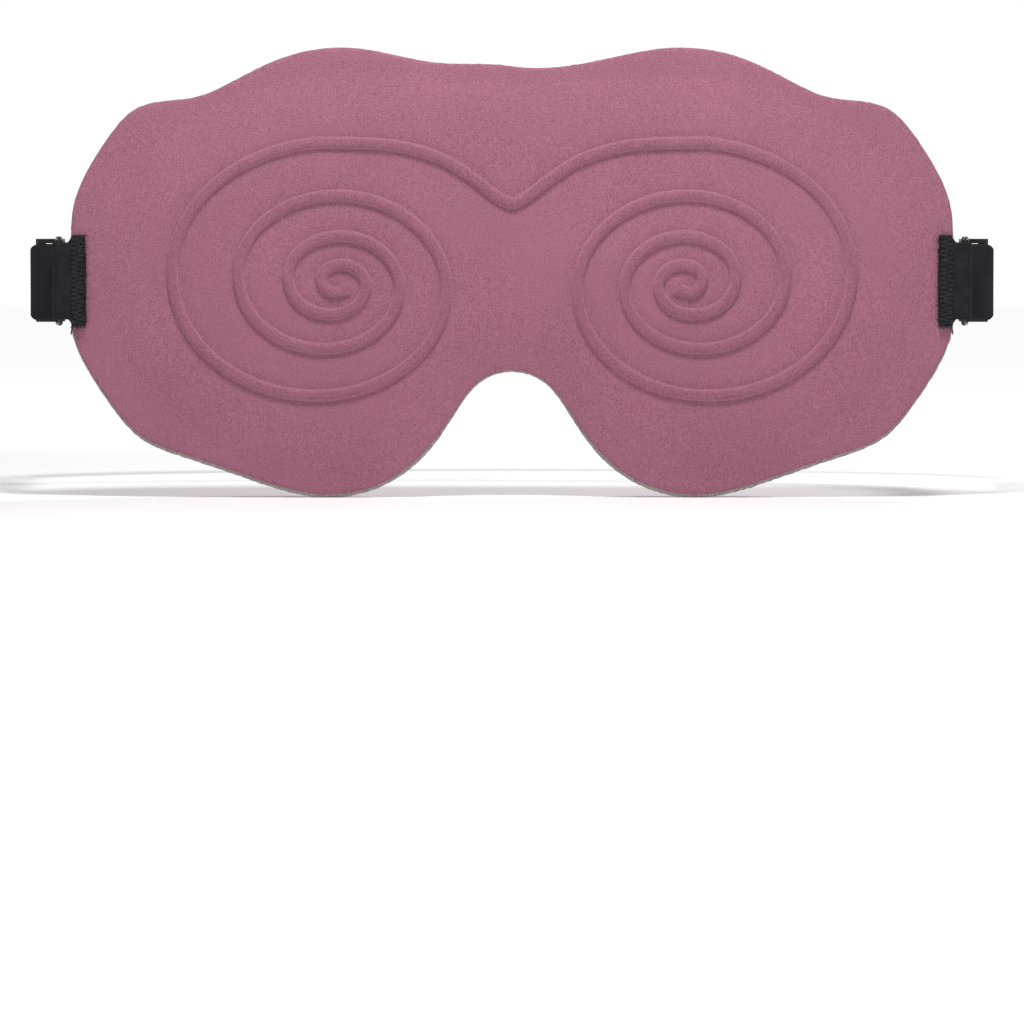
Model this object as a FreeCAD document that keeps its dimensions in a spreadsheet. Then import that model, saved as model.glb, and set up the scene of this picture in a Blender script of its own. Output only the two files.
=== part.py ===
import FreeCAD, Part
import math
import os

from FreeCAD import Rotation, Vector

# Contoured sleep eye mask with an elastic head strap. Millimetres.
#
# Frame: the origin is in the plane where the pad's crest meets the face, on the mask's middle plane and at
# the height of the strap. +Z is up, +Y goes towards the wearer's head and -Y is the outer face, so the
# layers of the flat panel lie one behind the other along Y. The mask is mirrored about the plane x = 0.

# alias, value in mm, what it is
DIMENSIONS = [
    ("mask_width", 234.4, "flat panel, side to side"),
    ("mask_height", 119, "flat panel, lobe bottom to hump top"),
    ("strap_height", 57, "strap's middle above the lobes' bottom"),
    ("outer_thick", 0.8, "outer fabric"),
    ("foam_thick", 2.4, "front foam"),
    ("blackout_thick", 0.4, "light-blocking layer, let into the foam"),
    ("blackout_inset", 4, "its edge, in from the panel's edge"),
    ("back_thick", 0.8, "back fabric"),
    ("pad_rise", 18, "pad's crest above the back fabric"),
    ("pad_round", 9, "rounding of the pad's crest"),
    ("cover_thick", 0.8, "fabric over the pad"),
    ("welt_width", 2.8, "raised spiral line on the outer fabric"),
    ("welt_rise", 0.8, "its height"),
    ("swirl_width", 1.6, "raised swirl line in each eye cavity"),
    ("swirl_rise", 0.5, "its height"),
    ("strap_width", 20, "elastic"),
    ("strap_thick", 1.2, "elastic"),
    ("tab_width", 21, "anchor tab, at the ring"),
    ("tab_sewn_width", 24.4, "anchor tab, where it is sewn down"),
    ("tab_thick", 1.2, "anchor tab's webbing"),
    ("tab_lap", 3.8, "how far the tab laps over the panel"),
    ("tab_clear", 0.8, "from the panel's edge to where the tab narrows towards the ring"),
    ("tab_bend", 1.4, "tab's bends, at the middle of the webbing"),
    ("wire_radius", 0.65, "ring's wire"),
    ("ring_length", 23.8, "ring, outside, along Z"),
    ("ring_gap", 6.4, "between the axes of the ring's two long sides"),
    ("ring_corner", 1.0, "ring's corner, at the wire's axis"),
    ("near_bar_x", 120.3, "ring's side in the tab"),
    ("far_bar_x", 121.6, "ring's side in the strap"),
    ("strap_side", 128.8, "middle of the strap's outer layer, beside the head"),
    ("strap_lean", 50, "degrees outwards, at which the strap leaves the ring"),
    ("strap_elbow", 2.5, "its bend back from there"),
    ("wire_play", 0.1, "between the wire and what wraps it"),
    ("swing_radius", 12, "where the strap's fold ends and its free part begins"),
    ("swing_play", 0.4, "between those two"),
    ("loop_straight", 62, "end of the strap's straight sides, along Y"),
    ("loop_depth", 60, "rounded back of the loop, beyond them"),
    ("slider_place", 36, "slider's bar, along Y"),
    ("slider_length", 14, "slider, along Y"),
    ("slider_bar", 2.4, "slider's bars, along Y"),
    ("slider_flat", 1.7, "slider's two outer bars, along X"),
    ("slider_corner", 1, "slider's rounded edges"),
    ("slider_rail", 1.2, "slider's top and bottom rails"),
    ("slider_play", 0.25, "between the slider and the strap"),
    ("lap_length", 12, "strap's end, sewn back round the slider's bar"),
    ("thread_radius", 0.28, "sewing thread"),
]

# Half outlines, right-hand side, from the top middle down to the notch: x, and z above the lobes' bottom.
PANEL_HALF = [
    (0, 114.1), (20, 115), (43, 119), (61.9, 116), (75.2, 109.6), (84, 105.9), (93, 104.8), (100.5, 102.6),
    (106.3, 96.8), (112.6, 87.2), (116.6, 77.6), (117.2, 60), (116.7, 42.4), (112.5, 32.8), (106.1, 23.2),
    (99.4, 16), (86.3, 10.4), (67.6, 4), (49.5, 0), (34.5, 3.2), (24.4, 10.4), (14.7, 23.2), (8.8, 30.3),
    (0, 33.2),
]
PAD_HALF = [
    (0, 108.7), (35, 110.2), (53.6, 109.6), (67.5, 107.3), (82, 101.2), (97.8, 89.2), (106, 74), (108, 60),
    (104.5, 42), (94, 26), (78.6, 14), (65.6, 7.6), (53.6, 5.5), (43.6, 6), (33.3, 10), (25, 16.9),
    (17.8, 25.7), (10, 35.5), (0, 40.3),
]
# Outline of the right eye cavity, all round, from its inner corner over the top.
EYE_OUTLINE = [
    (14.8, 74), (18, 80.6), (27.2, 83.7), (41, 83.4), (57, 80.2), (67.5, 73.5), (75, 63), (73.6, 51.5),
    (66.5, 41.8), (57, 37.3), (48.8, 36.3), (40, 39), (31.8, 45.5), (24.4, 56), (17.5, 66.5),
]

# The outer spiral: x = r * (stretch * cos - lean), z = r * sin about its eye, and r shrinks with each turn.
SPIRAL_EYE = (-45.9, 56.5)
SPIRAL_STRETCH = 1.2
SPIRAL_LEAN = 0.125
SPIRAL_RADIUS = (37.3, -15.75, 1.65)
SPIRAL_TURNS = 3.35
# From the spiral's top to the middle of the mask, about the same eye.
SPIRAL_BRIDGE = [(45.9, 21.2), (41.6, 23.2), (35.7, 27.7), (26.9, 33.1), (14, 36.6)]

# The swirl on the floor of each eye cavity, about a point of its own.
SWIRL_EYE = (-46.3, 58.5)
SWIRL_STRETCH = 1.15
SWIRL_LEAN = 0.04
SWIRL_RADIUS = (16, -6.2, 0)
SWIRL_TURNS = 2.35

STEPS_PER_TURN = 20
PROBE = 0.01  # a short step off a curve, to see which side of it is inside
NEAR = 1e-4  # closer than this is the same place
CUT_WIDE = 40.0  # a cut's outline, this far outside what it cuts

doc = FreeCAD.newDocument("SleepMask")
sheet = doc.addObject("Spreadsheet::Sheet", "Dims")
size = {}
for row, (alias, value, note) in enumerate(DIMENSIONS, 1):
    sheet.set(f"A{row}", note)
    sheet.set(f"B{row}", str(value))
    sheet.setAlias(f"B{row}", alias)
    size[alias] = float(value)
doc.recompute()

# Places along Y, as expressions over the sheet and as numbers.
BACK_FACE = "(Dims.pad_rise + Dims.back_thick)"
FOAM_FRONT = "(Dims.pad_rise + Dims.back_thick + Dims.foam_thick)"
OUTER_FRONT = "(Dims.pad_rise + Dims.back_thick + Dims.foam_thick + Dims.outer_thick)"
flange_y = -size["pad_rise"]
outer_y = flange_y - size["back_thick"] - size["foam_thick"] - size["outer_thick"]
panel_mid_y = (flange_y + outer_y) / 2
ring_run = size["far_bar_x"] - size["near_bar_x"]
far_bar_y = panel_mid_y + math.sqrt(size["ring_gap"] ** 2 - ring_run ** 2)
strap_wrap = size["wire_radius"] + size["wire_play"] + size["strap_thick"] / 2
strap_x = size["strap_side"]
inner_x = strap_x - 2 * strap_wrap


# ---------------------------------------------------------------- outlines

def scaled(points):
    """Outline points at the driving width and height, with z from the strap's middle."""
    wide = size["mask_width"] / 2 / max(x for x, z in PANEL_HALF)
    tall = size["mask_height"] / max(z for x, z in PANEL_HALF)
    return [(x * wide, z * tall - size["strap_height"]) for x, z in points]


def both_halves(half):
    """A closed outline from its right half, which begins and ends on the middle plane."""
    return half + [(-x, z) for x, z in reversed(half[1:-1])]


def mirrored(points):
    return [(-x, z) for x, z in points]


def closed_curve(points, up=0.0):
    """A smooth closed curve through points of the XZ plane, drawn in a sketch's own x and y."""
    curve = Part.BSplineCurve()
    curve.interpolate(Points=[Vector(x, z, up) for x, z in points], PeriodicFlag=True)
    return curve


def moved_in(points, distance):
    """The outline moved towards its own inside, or out of it where distance is negative."""
    curve = closed_curve(points)
    loop = Part.Face(Part.Wire(curve.toShape()))
    moved = []
    for x, z in points:
        along = curve.tangent(curve.parameter(Vector(x, z, 0)))[0]
        aside = Vector(-along.y, along.x, 0)
        if not loop.isInside(Vector(x, z, 0) + aside * PROBE, NEAR, False):
            aside = -aside
        moved.append((x + aside.x * distance, z + aside.y * distance))
    return moved


panel_outline = both_halves(scaled(PANEL_HALF))
pad_outline = both_halves(scaled(PAD_HALF))
eye_right = scaled(EYE_OUTLINE)
eye_left = mirrored(eye_right)


# ---------------------------------------------------------------- features

def new_sketch(body, name, role):
    """An empty sketch on one of the body's own origin planes."""
    sketch = body.newObject("Sketcher::SketchObject", name)
    plane = next(f for f in body.Origin.OriginFeatures if f.Role == role)
    sketch.AttachmentSupport = [(plane, "")]
    sketch.MapMode = "FlatFace"
    return sketch


def layer(name, outlines, front, thickness):
    """A body of even thickness with the given closed outlines. front is how far its front face is along -Y."""
    body = doc.addObject("PartDesign::Body", name)
    sketch = new_sketch(body, name + "_outline", "XZ_Plane")
    sketch.setExpression("AttachmentOffset.Base.z", front)
    for outline in outlines:
        sketch.addGeometry(closed_curve(outline))
    pad = body.newObject("PartDesign::Pad", name + "_pad")
    pad.Profile = sketch
    pad.setExpression("Length", thickness)
    pad.Reversed = True
    doc.recompute()
    return body


def top_edges(shape, y):
    """Numbers of the edges that lie in the plane at y."""
    return [
        n for n, edge in enumerate(shape.Edges, 1)
        if abs(edge.BoundBox.YMin - y) < NEAR and abs(edge.BoundBox.YMax - y) < NEAR
    ]


def rounded_crest(name, body, radius):
    """The body with every edge of its face-side end rounded."""
    piece = doc.addObject("Part::Fillet", name)
    piece.Base = body
    piece.Edges = [(n, radius, radius) for n in top_edges(body.Shape, body.Shape.BoundBox.YMax)]
    doc.recompute()
    return piece


def cut(name, base, tool):
    piece = doc.addObject("Part::Cut", name)
    piece.Base = base
    piece.Tool = tool
    return piece


def common(name, base, tool):
    piece = doc.addObject("Part::Common", name)
    piece.Base = base
    piece.Tool = tool
    return piece


def fused(name, shapes):
    piece = doc.addObject("Part::MultiFuse", name)
    piece.Shapes = shapes
    return piece


def mirror(source, name):
    """The same piece on the other side of the mask."""
    piece = doc.addObject("Part::Mirroring", name)
    piece.Source = source
    piece.Normal = Vector(1, 0, 0)
    piece.Base = Vector(0, 0, 0)
    return piece


def ribbon_sides(corners, thickness):
    """Edges round a ribbon of even thickness. corners are (x, y, radius) along its middle line, with the radius
    of the bend there, and 0 at both ends."""
    points = [Vector(x, y, 0) for x, y, radius in corners]
    headings = [(b - a).normalize() for a, b in zip(points, points[1:])]

    def side(shift):
        edges, start = [], None
        for n, (x, y, radius) in enumerate(corners):
            before = headings[max(n - 1, 0)]
            after = headings[min(n, len(headings) - 1)]
            left_before = Vector(-before.y, before.x, 0)
            if n in (0, len(corners) - 1):
                here = points[n] + left_before * shift
                if start is not None:
                    edges.append(Part.LineSegment(start, here))
                start = here
                continue
            turn = before.getAngle(after)
            hand = 1 if before.cross(after).z > 0 else -1
            back = radius * math.tan(turn / 2)
            centre = points[n] - before * back + left_before * (hand * radius)
            reach = radius - hand * shift
            arc_start = centre - left_before * (hand * reach)
            arc_end = centre - Vector(-after.y, after.x, 0) * (hand * reach)
            middle = centre + ((arc_start + arc_end) / 2 - centre).normalize() * reach
            if (arc_start - start).Length > NEAR:
                edges.append(Part.LineSegment(start, arc_start))
            edges.append(Part.Arc(arc_start, middle, arc_end))
            start = arc_end
        return edges

    left, right = side(thickness / 2), side(-thickness / 2)

    def first(edges):
        return edges[0].value(edges[0].FirstParameter)

    def last(edges):
        return edges[-1].value(edges[-1].LastParameter)

    return left + right + [
        Part.LineSegment(first(left), first(right)),
        Part.LineSegment(last(left), last(right)),
    ]


def standing_pad(body, name, geometry, height):
    """Geometry of the XY plane padded equally up and down, by height in all."""
    sketch = new_sketch(body, name + "_section", "XY_Plane")
    for item in geometry:
        sketch.addGeometry(item)
    pad = body.newObject("PartDesign::Pad", name + "_pad")
    pad.Profile = sketch
    pad.setExpression("Length", height)
    if hasattr(pad, "SideType"):
        pad.SideType = "Symmetric"
    else:
        pad.Midplane = True
    doc.recompute()
    return pad


def ribbon(name, corners, thickness, height):
    """A strap or webbing that stands on edge and follows the corners."""
    body = doc.addObject("PartDesign::Body", name)
    standing_pad(body, name, ribbon_sides(corners, thickness), height)
    return body


def rectangle(x0, y0, x1, y1):
    a, b, c, d = Vector(x0, y0), Vector(x1, y0), Vector(x1, y1), Vector(x0, y1)
    return [Part.LineSegment(a, b), Part.LineSegment(b, c), Part.LineSegment(c, d), Part.LineSegment(d, a)]


# ---------------------------------------------------------------- raised spirals

def spiral_point(turn, eye, radii, stretch, lean):
    """A point of a left-hand spiral. Turn 0 is straight above its eye, and it winds in over the outer side."""
    angle = math.pi / 2 + 2 * math.pi * turn
    reach = radii[0] + radii[1] * turn + radii[2] * turn ** 2
    x = eye[0] + reach * (stretch * math.cos(angle) - lean)
    return x, eye[1] + reach * math.sin(angle)


def spiral_path(eye, radii, stretch, lean, turns):
    count = int(turns * STEPS_PER_TURN)
    return [spiral_point(turns * n / count, eye, radii, stretch, lean) for n in range(count + 1)]


def raised_line(name, points, width, rise, root_y, outwards):
    """A low band of even width along the points, standing on the plane root_y. outwards is -1 or 1, along Y."""
    middle = Part.BSplineCurve()
    middle.interpolate([Vector(x, 0, z) for x, z in points])
    sides = []
    for shift in (width / 2, -width / 2):
        moved = []
        for x, z in points:
            here = Vector(x, 0, z)
            along = middle.tangent(middle.parameter(here))[0]
            moved.append(here + Vector(-along.z, 0, along.x) * shift)
        side = Part.BSplineCurve()
        side.interpolate(moved)
        sides.append((side.toShape(), moved[0], moved[-1]))
    (one, one_start, one_end), (two, two_start, two_end) = sides
    ends = [Part.LineSegment(one_start, two_start).toShape(), Part.LineSegment(one_end, two_end).toShape()]
    face = Part.Face(Part.Wire(Part.__sortEdges__([one, two, *ends])))
    band = doc.addObject("Part::Feature", name)
    band.Shape = face.extrude(Vector(0, outwards * rise, 0))
    band.Placement = FreeCAD.Placement(Vector(0, root_y, 0), Rotation())
    return band


welt_coil = spiral_path(SPIRAL_EYE, SPIRAL_RADIUS, SPIRAL_STRETCH, SPIRAL_LEAN, SPIRAL_TURNS)
welt_bridge = [(SPIRAL_EYE[0] + x, SPIRAL_EYE[1] + z) for x, z in SPIRAL_BRIDGE]
welt_half = scaled(list(reversed(welt_coil)) + list(reversed(welt_bridge)))
welt_points = welt_half + mirrored(reversed(welt_half[:-1]))
swirl_left = scaled(spiral_path(SWIRL_EYE, SWIRL_RADIUS, SWIRL_STRETCH, SWIRL_LEAN, SWIRL_TURNS))


# ---------------------------------------------------------------- the flat panel

outer_sheet = layer("outer_sheet", [panel_outline], OUTER_FRONT, "Dims.outer_thick")
welt = raised_line("welt", welt_points, size["welt_width"], size["welt_rise"], outer_y, -1)
outer_fabric = fused("outer_fabric", [outer_sheet, welt])

blackout_outline = moved_in(panel_outline, size["blackout_inset"])
blackout_front = "(Dims.pad_rise + Dims.back_thick + Dims.blackout_thick)"
blackout_layer = layer("blackout_layer", [blackout_outline], blackout_front, "Dims.blackout_thick")

foam_blank = layer("foam_blank", [panel_outline], FOAM_FRONT, "Dims.foam_thick")
front_foam = cut("front_foam", foam_blank, blackout_layer)

back_sheet = layer("back_sheet", [panel_outline], BACK_FACE, "Dims.back_thick")
swirls = [
    raised_line("swirl_left", swirl_left, size["swirl_width"], size["swirl_rise"], flange_y, 1),
    raised_line("swirl_right", mirrored(swirl_left), size["swirl_width"], size["swirl_rise"], flange_y, 1),
]
back_fabric = fused("back_fabric", [back_sheet, *swirls])

# ---------------------------------------------------------------- the pad on its face side

pad_block = layer("pad_block", [pad_outline, eye_left, eye_right], "Dims.pad_rise", "Dims.pad_rise")
pad_form = rounded_crest("pad_form", pad_block, size["pad_round"])

inner_outline = moved_in(pad_outline, size["cover_thick"])
inner_eyes = [moved_in(eye, -size["cover_thick"]) for eye in (eye_left, eye_right)]
foam_rise = "Dims.pad_rise - Dims.cover_thick"
foam_block = layer("foam_block", [inner_outline, *inner_eyes], "Dims.pad_rise", foam_rise)
pad_foam = rounded_crest("pad_foam", foam_block, size["pad_round"] - size["cover_thick"])
pad_cover = cut("pad_cover", pad_form, pad_foam)

# ---------------------------------------------------------------- tab and ring at the left side

tab_edge_x = size["mask_width"] / 2 - size["tab_lap"]
tab_shift = (flange_y - outer_y + size["tab_thick"]) / 2
tab_wrap = size["wire_radius"] + size["wire_play"] + size["tab_thick"] / 2
tab_bend = size["tab_bend"]
tab_front_y, tab_back_y = panel_mid_y - tab_shift, panel_mid_y + tab_shift
tab_fold_x = size["near_bar_x"] + tab_wrap
tab_leg_x = size["mask_width"] / 2 + size["tab_clear"]
left_anchor_tab = ribbon(
    "left_anchor_tab",
    [
        (-tab_edge_x, tab_front_y, 0),
        (-tab_leg_x, tab_front_y, tab_bend),
        (-tab_fold_x, panel_mid_y - tab_wrap, tab_bend),
        (-tab_fold_x, panel_mid_y + tab_wrap, tab_bend),
        (-tab_leg_x, tab_back_y, tab_bend),
        (-tab_edge_x, tab_back_y, 0),
    ],
    size["tab_thick"],
    "Dims.tab_width",
)
half_tab = size["tab_thick"] / 2
sewn_legs = [
    *rectangle(-tab_leg_x + tab_bend, tab_front_y - half_tab, -tab_edge_x, tab_front_y + half_tab),
    *rectangle(-tab_leg_x + tab_bend, tab_back_y - half_tab, -tab_edge_x, tab_back_y + half_tab),
]
standing_pad(left_anchor_tab, "left_tab_legs", sewn_legs, "Dims.tab_sewn_width")


def ring_at_origin(name):
    """A rectangular wire ring in the XZ plane: straight sides and quarter-circle corners."""
    half_long = "(Dims.ring_length / 2 - Dims.wire_radius)"
    half_gap = "(Dims.ring_gap / 2)"
    pieces = []
    for x in (-1, 1):
        bar = doc.addObject("Part::Cylinder", name + "_bar")
        bar.setExpression("Radius", "Dims.wire_radius")
        bar.setExpression("Height", f"2 * ({half_long} - Dims.ring_corner)")
        bar.setExpression("Placement.Base.x", f"{x} * {half_gap}")
        bar.setExpression("Placement.Base.z", f"-({half_long} - Dims.ring_corner)")
        pieces.append(bar)
    for z in (-1, 1):
        end = doc.addObject("Part::Cylinder", name + "_end")
        end.Placement = FreeCAD.Placement(Vector(), Rotation(Vector(0, 1, 0), 90))
        end.setExpression("Radius", "Dims.wire_radius")
        end.setExpression("Height", f"2 * ({half_gap} - Dims.ring_corner)")
        end.setExpression("Placement.Base.x", f"-({half_gap} - Dims.ring_corner)")
        end.setExpression("Placement.Base.z", f"{z} * {half_long}")
        pieces.append(end)
    for x, z, quarter in ((1, 1, 0), (-1, 1, 90), (-1, -1, 180), (1, -1, 270)):
        corner = doc.addObject("Part::Torus", name + "_corner")
        turned = Rotation(Vector(1, 0, 0), 90).multiply(Rotation(Vector(0, 0, 1), quarter))
        corner.Placement = FreeCAD.Placement(Vector(), turned)
        corner.setExpression("Radius1", "Dims.ring_corner")
        corner.setExpression("Radius2", "Dims.wire_radius")
        corner.Angle3 = 90
        corner.setExpression("Placement.Base.x", f"{x} * ({half_gap} - Dims.ring_corner)")
        corner.setExpression("Placement.Base.z", f"{z} * ({half_long} - Dims.ring_corner)")
        pieces.append(corner)
    return fused(name, pieces)


left_ring = ring_at_origin("left_ring")
ring_tilt = math.degrees(math.atan2(far_bar_y - panel_mid_y, ring_run))
left_ring.Placement = FreeCAD.Placement(
    Vector(-(size["near_bar_x"] + size["far_bar_x"]) / 2, (panel_mid_y + far_bar_y) / 2, 0),
    Rotation(Vector(0, 0, 1), -ring_tilt),
)

# ---------------------------------------------------------------- strap

swing_core = doc.addObject("Part::Cylinder", "swing_core")
swing_clear = doc.addObject("Part::Cylinder", "swing_clear")
for core, radius in ((swing_core, "Dims.swing_radius"), (swing_clear, "Dims.swing_radius + Dims.swing_play")):
    core.setExpression("Radius", radius)
    core.Height = 2 * size["mask_width"]
    core.Placement = FreeCAD.Placement(Vector(-size["mask_width"], far_bar_y, 0), Rotation(Vector(0, 1, 0), 90))

# The fold round the ring: out along the inner side, round the wire and back along the outer side. Both layers
# lean outwards as they leave the ring, and bend back beside the head.
fold_reach = far_bar_y + size["swing_radius"] + size["strap_thick"]
lean = math.radians(size["strap_lean"])
lean_way = Vector(-math.sin(lean), math.cos(lean), 0)
lean_side = Vector(-math.cos(lean), -math.sin(lean), 0)
fold_back = Vector(-size["far_bar_x"], far_bar_y, 0) - lean_way * strap_wrap
fold_in, fold_out = fold_back - lean_side * strap_wrap, fold_back + lean_side * strap_wrap


def elbow_y(corner, x):
    """Where the line that leaves the corner along the strap's lean reaches x."""
    return corner.y + (x - corner.x) / lean_way.x * lean_way.y


left_fold = ribbon(
    "left_fold",
    [
        (-inner_x, fold_reach, 0),
        (-inner_x, elbow_y(fold_in, -inner_x), size["strap_elbow"]),
        (fold_in.x, fold_in.y, strap_wrap),
        (fold_out.x, fold_out.y, strap_wrap),
        (-strap_x, elbow_y(fold_out, -strap_x), size["strap_elbow"]),
        (-strap_x, fold_reach, 0),
    ],
    size["strap_thick"],
    "Dims.strap_width",
)
left_strap_end = common("left_strap_end", left_fold, swing_core)

# The free loop: straight sides, and a half ellipse behind the head.
half_strap = size["strap_thick"] / 2
loop = []
for shift in (half_strap, -half_strap):
    wide, deep = strap_x + shift, size["loop_depth"] + shift
    centre = Vector(0, size["loop_straight"], 0)
    ellipse = Part.Ellipse(centre, wide, deep)
    loop.append(Part.ArcOfEllipse(ellipse, 0, math.pi))
    for x in (-wide, wide):
        loop.append(Part.LineSegment(Vector(x, far_bar_y, 0), Vector(x, size["loop_straight"], 0)))
for x in (-strap_x, strap_x):
    loop.append(Part.LineSegment(Vector(x - half_strap, far_bar_y, 0), Vector(x + half_strap, far_bar_y, 0)))
loop_body = doc.addObject("PartDesign::Body", "loop_body")
standing_pad(loop_body, "loop_body", loop, "Dims.strap_width")
strap_band = cut("strap_band", loop_body, swing_clear)

# The second layer, from the ring back to the slider, and the strap's end sewn round the slider's bar.
bar_y = size["slider_place"]
lap_wrap = size["slider_bar"] / 2 + size["wire_play"] + half_strap
bar_x = strap_x - half_strap - size["slider_play"] - half_strap - lap_wrap
lap_front_y = bar_y - size["lap_length"]
tail_x = bar_x - half_strap
lap_middle_y = lap_front_y + size["lap_length"] / 2
left_tail_run = ribbon(
    "left_tail_run",
    [(-inner_x, far_bar_y, 0), (-tail_x, lap_front_y - size["slider_play"], 0)],
    size["strap_thick"],
    "Dims.strap_width",
)
left_strap_tail = cut("left_strap_tail", left_tail_run, swing_clear)

# Along the inner side, round the slider's bar and back over itself. The two layers lie lap_gap apart.
lap_gap = 0.05
lap_straight = 1.5  # beside the bar, before the bend round it
round_bar = lap_wrap - lap_gap
gentle_bend, tight_bend = 6.0, 1.0
flap_x = tail_x + size["strap_thick"] + lap_gap
left_strap_lap = ribbon(
    "left_strap_lap",
    [
        (-tail_x, lap_front_y, 0),
        (-tail_x, lap_middle_y, gentle_bend),
        (-(bar_x - lap_wrap), bar_y - lap_straight, tight_bend),
        (-(bar_x - lap_wrap), bar_y + lap_wrap, round_bar),
        (-(bar_x + lap_wrap), bar_y + lap_wrap, round_bar),
        (-(bar_x + lap_wrap), bar_y - lap_straight, tight_bend),
        (-flap_x, lap_middle_y, gentle_bend),
        (-flap_x, lap_front_y + lap_straight, 0),
    ],
    size["strap_thick"],
    "Dims.strap_width",
)


# ---------------------------------------------------------------- slider

def rounded_rectangle(x0, y0, x1, y1, radius):
    """Four lines and four quarter arcs."""
    corners = [(x1, y1, 0), (x0, y1, 1), (x0, y0, 2), (x1, y0, 3)]
    arcs, geometry = [], []
    for x, y, quarter in corners:
        centre = Vector(x - radius * (1 if x == x1 else -1), y - radius * (1 if y == y1 else -1), 0)
        start = quarter * math.pi / 2
        circle = Part.Circle(centre, Vector(0, 0, 1), radius)
        arcs.append(Part.ArcOfCircle(circle, start, start + math.pi / 2))
    for one, two in zip(arcs, arcs[1:] + arcs[:1]):
        geometry += [one, Part.LineSegment(one.EndPoint, two.StartPoint)]
    return geometry


outer_bar_x = strap_x + half_strap + size["slider_play"]
slider_out_x = outer_bar_x + size["slider_flat"]
slider_in_x = bar_x - size["slider_bar"] / 2
slider_y0 = bar_y - size["slider_length"] / 2
slider_y1 = bar_y + size["slider_length"] / 2
slider_round = size["slider_corner"]
bar_round = 0.8  # the outer bars' own rounded edges
left_slider = doc.addObject("PartDesign::Body", "left_slider")
standing_pad(
    left_slider,
    "slider_block",
    rounded_rectangle(-slider_out_x, slider_y0, -slider_in_x, slider_y1, slider_round),
    "Dims.strap_width + 2 * (Dims.slider_play + Dims.slider_rail)",
)
window = new_sketch(left_slider, "slider_window", "XY_Plane")
window_outline = rectangle(
    -slider_out_x - CUT_WIDE, slider_y0 - CUT_WIDE, -slider_in_x + CUT_WIDE, slider_y1 + CUT_WIDE
)
bar_sections = [
    *rounded_rectangle(-slider_out_x, slider_y0, -outer_bar_x, slider_y0 + size["slider_bar"], bar_round),
    *rounded_rectangle(-slider_out_x, slider_y1 - size["slider_bar"], -outer_bar_x, slider_y1, bar_round),
    Part.Circle(Vector(-bar_x, bar_y, 0), Vector(0, 0, 1), size["slider_bar"] / 2),
]
for item in window_outline + bar_sections:
    window.addGeometry(item)
pocket = left_slider.newObject("PartDesign::Pocket", "slider_opening")
pocket.Profile = window
pocket.setExpression("Length", "Dims.strap_width + 2 * Dims.slider_play")
if hasattr(pocket, "SideType"):
    pocket.SideType = "Symmetric"
else:
    pocket.Midplane = True
doc.recompute()


# ---------------------------------------------------------------- stitches

STITCH_INSET = 0.6  # zigzag seam, in from the tab's edges
NEEDLE_HOLE = 0.24
TAB_STITCHES = 14  # in the seam up each face of a tab
LAP_SEAMS = (2.2, 4.2)  # the two seams through the strap's end, from its cut edge
LAP_SEAM_INSET = 1.0
LAP_STITCHES = 7  # in each of them
SEAM_GAP = 0.15


def thread(name, start, end):
    """A straight stitch of thread from one point to another."""
    piece = doc.addObject("Part::Cylinder", name)
    piece.setExpression("Radius", "Dims.thread_radius")
    piece.Height = (end - start).Length
    piece.Placement = FreeCAD.Placement(start, Rotation(Vector(0, 0, 1), end - start))
    return piece


def zigzag(name, x0, x1, y, half_height, count):
    """A zigzag row of stitches up a face at y, between x0 and x1. They stop short of each other by the needle
    holes."""
    step = 2 * half_height / count
    gap = NEEDLE_HOLE / 2
    rows = []
    for n in range(count):
        low, high = -half_height + n * step, -half_height + (n + 1) * step
        a, b = (x0, x1) if n % 2 == 0 else (x1, x0)
        rows.append(thread(name, Vector(a, y, low + gap), Vector(b, y, high - gap)))
    return rows


def stitches(name, rows):
    piece = doc.addObject("Part::Compound", name)
    piece.Links = rows
    return piece


thread_out = half_tab + size["thread_radius"]
tab_stitch_x = (-tab_edge_x - STITCH_INSET, -tab_edge_x - size["tab_lap"] + STITCH_INSET)
sewn_half = size["tab_sewn_width"] / 2 - STITCH_INSET
left_tab_stitch = stitches(
    "left_tab_stitch",
    zigzag("tab_thread", *tab_stitch_x, tab_front_y - thread_out, sewn_half, TAB_STITCHES)
    + zigzag("tab_thread", *tab_stitch_x, tab_back_y + thread_out, sewn_half, TAB_STITCHES),
)


def upright_threads(name, x, y, half_height, count):
    """A row of upright stitches on a face at x, each shorter than its step by SEAM_GAP of it at both ends."""
    step = 2 * half_height / count
    rows = []
    for n in range(count):
        low = -half_height + (n + SEAM_GAP) * step
        high = -half_height + (n + 1 - SEAM_GAP) * step
        rows.append(thread(name, Vector(x, y, low), Vector(x, y, high)))
    return rows


lap_thread_x = -tail_x + half_strap + size["thread_radius"]
seam_half = size["strap_width"] / 2 - LAP_SEAM_INSET
left_lap_stitch = stitches(
    "left_lap_stitch",
    [
        row
        for seam_y in LAP_SEAMS
        for row in upright_threads("lap_thread", lap_thread_x, lap_front_y + seam_y, seam_half, LAP_STITCHES)
    ],
)

# ---------------------------------------------------------------- right-hand pieces

LEFT_PIECES = [
    left_anchor_tab, left_tab_stitch, left_ring, left_strap_end, left_strap_tail, left_slider, left_strap_lap,
    left_lap_stitch,
]
right_pieces = [mirror(piece, piece.Name.replace("left_", "right_")) for piece in LEFT_PIECES]

# ---------------------------------------------------------------- out

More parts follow.
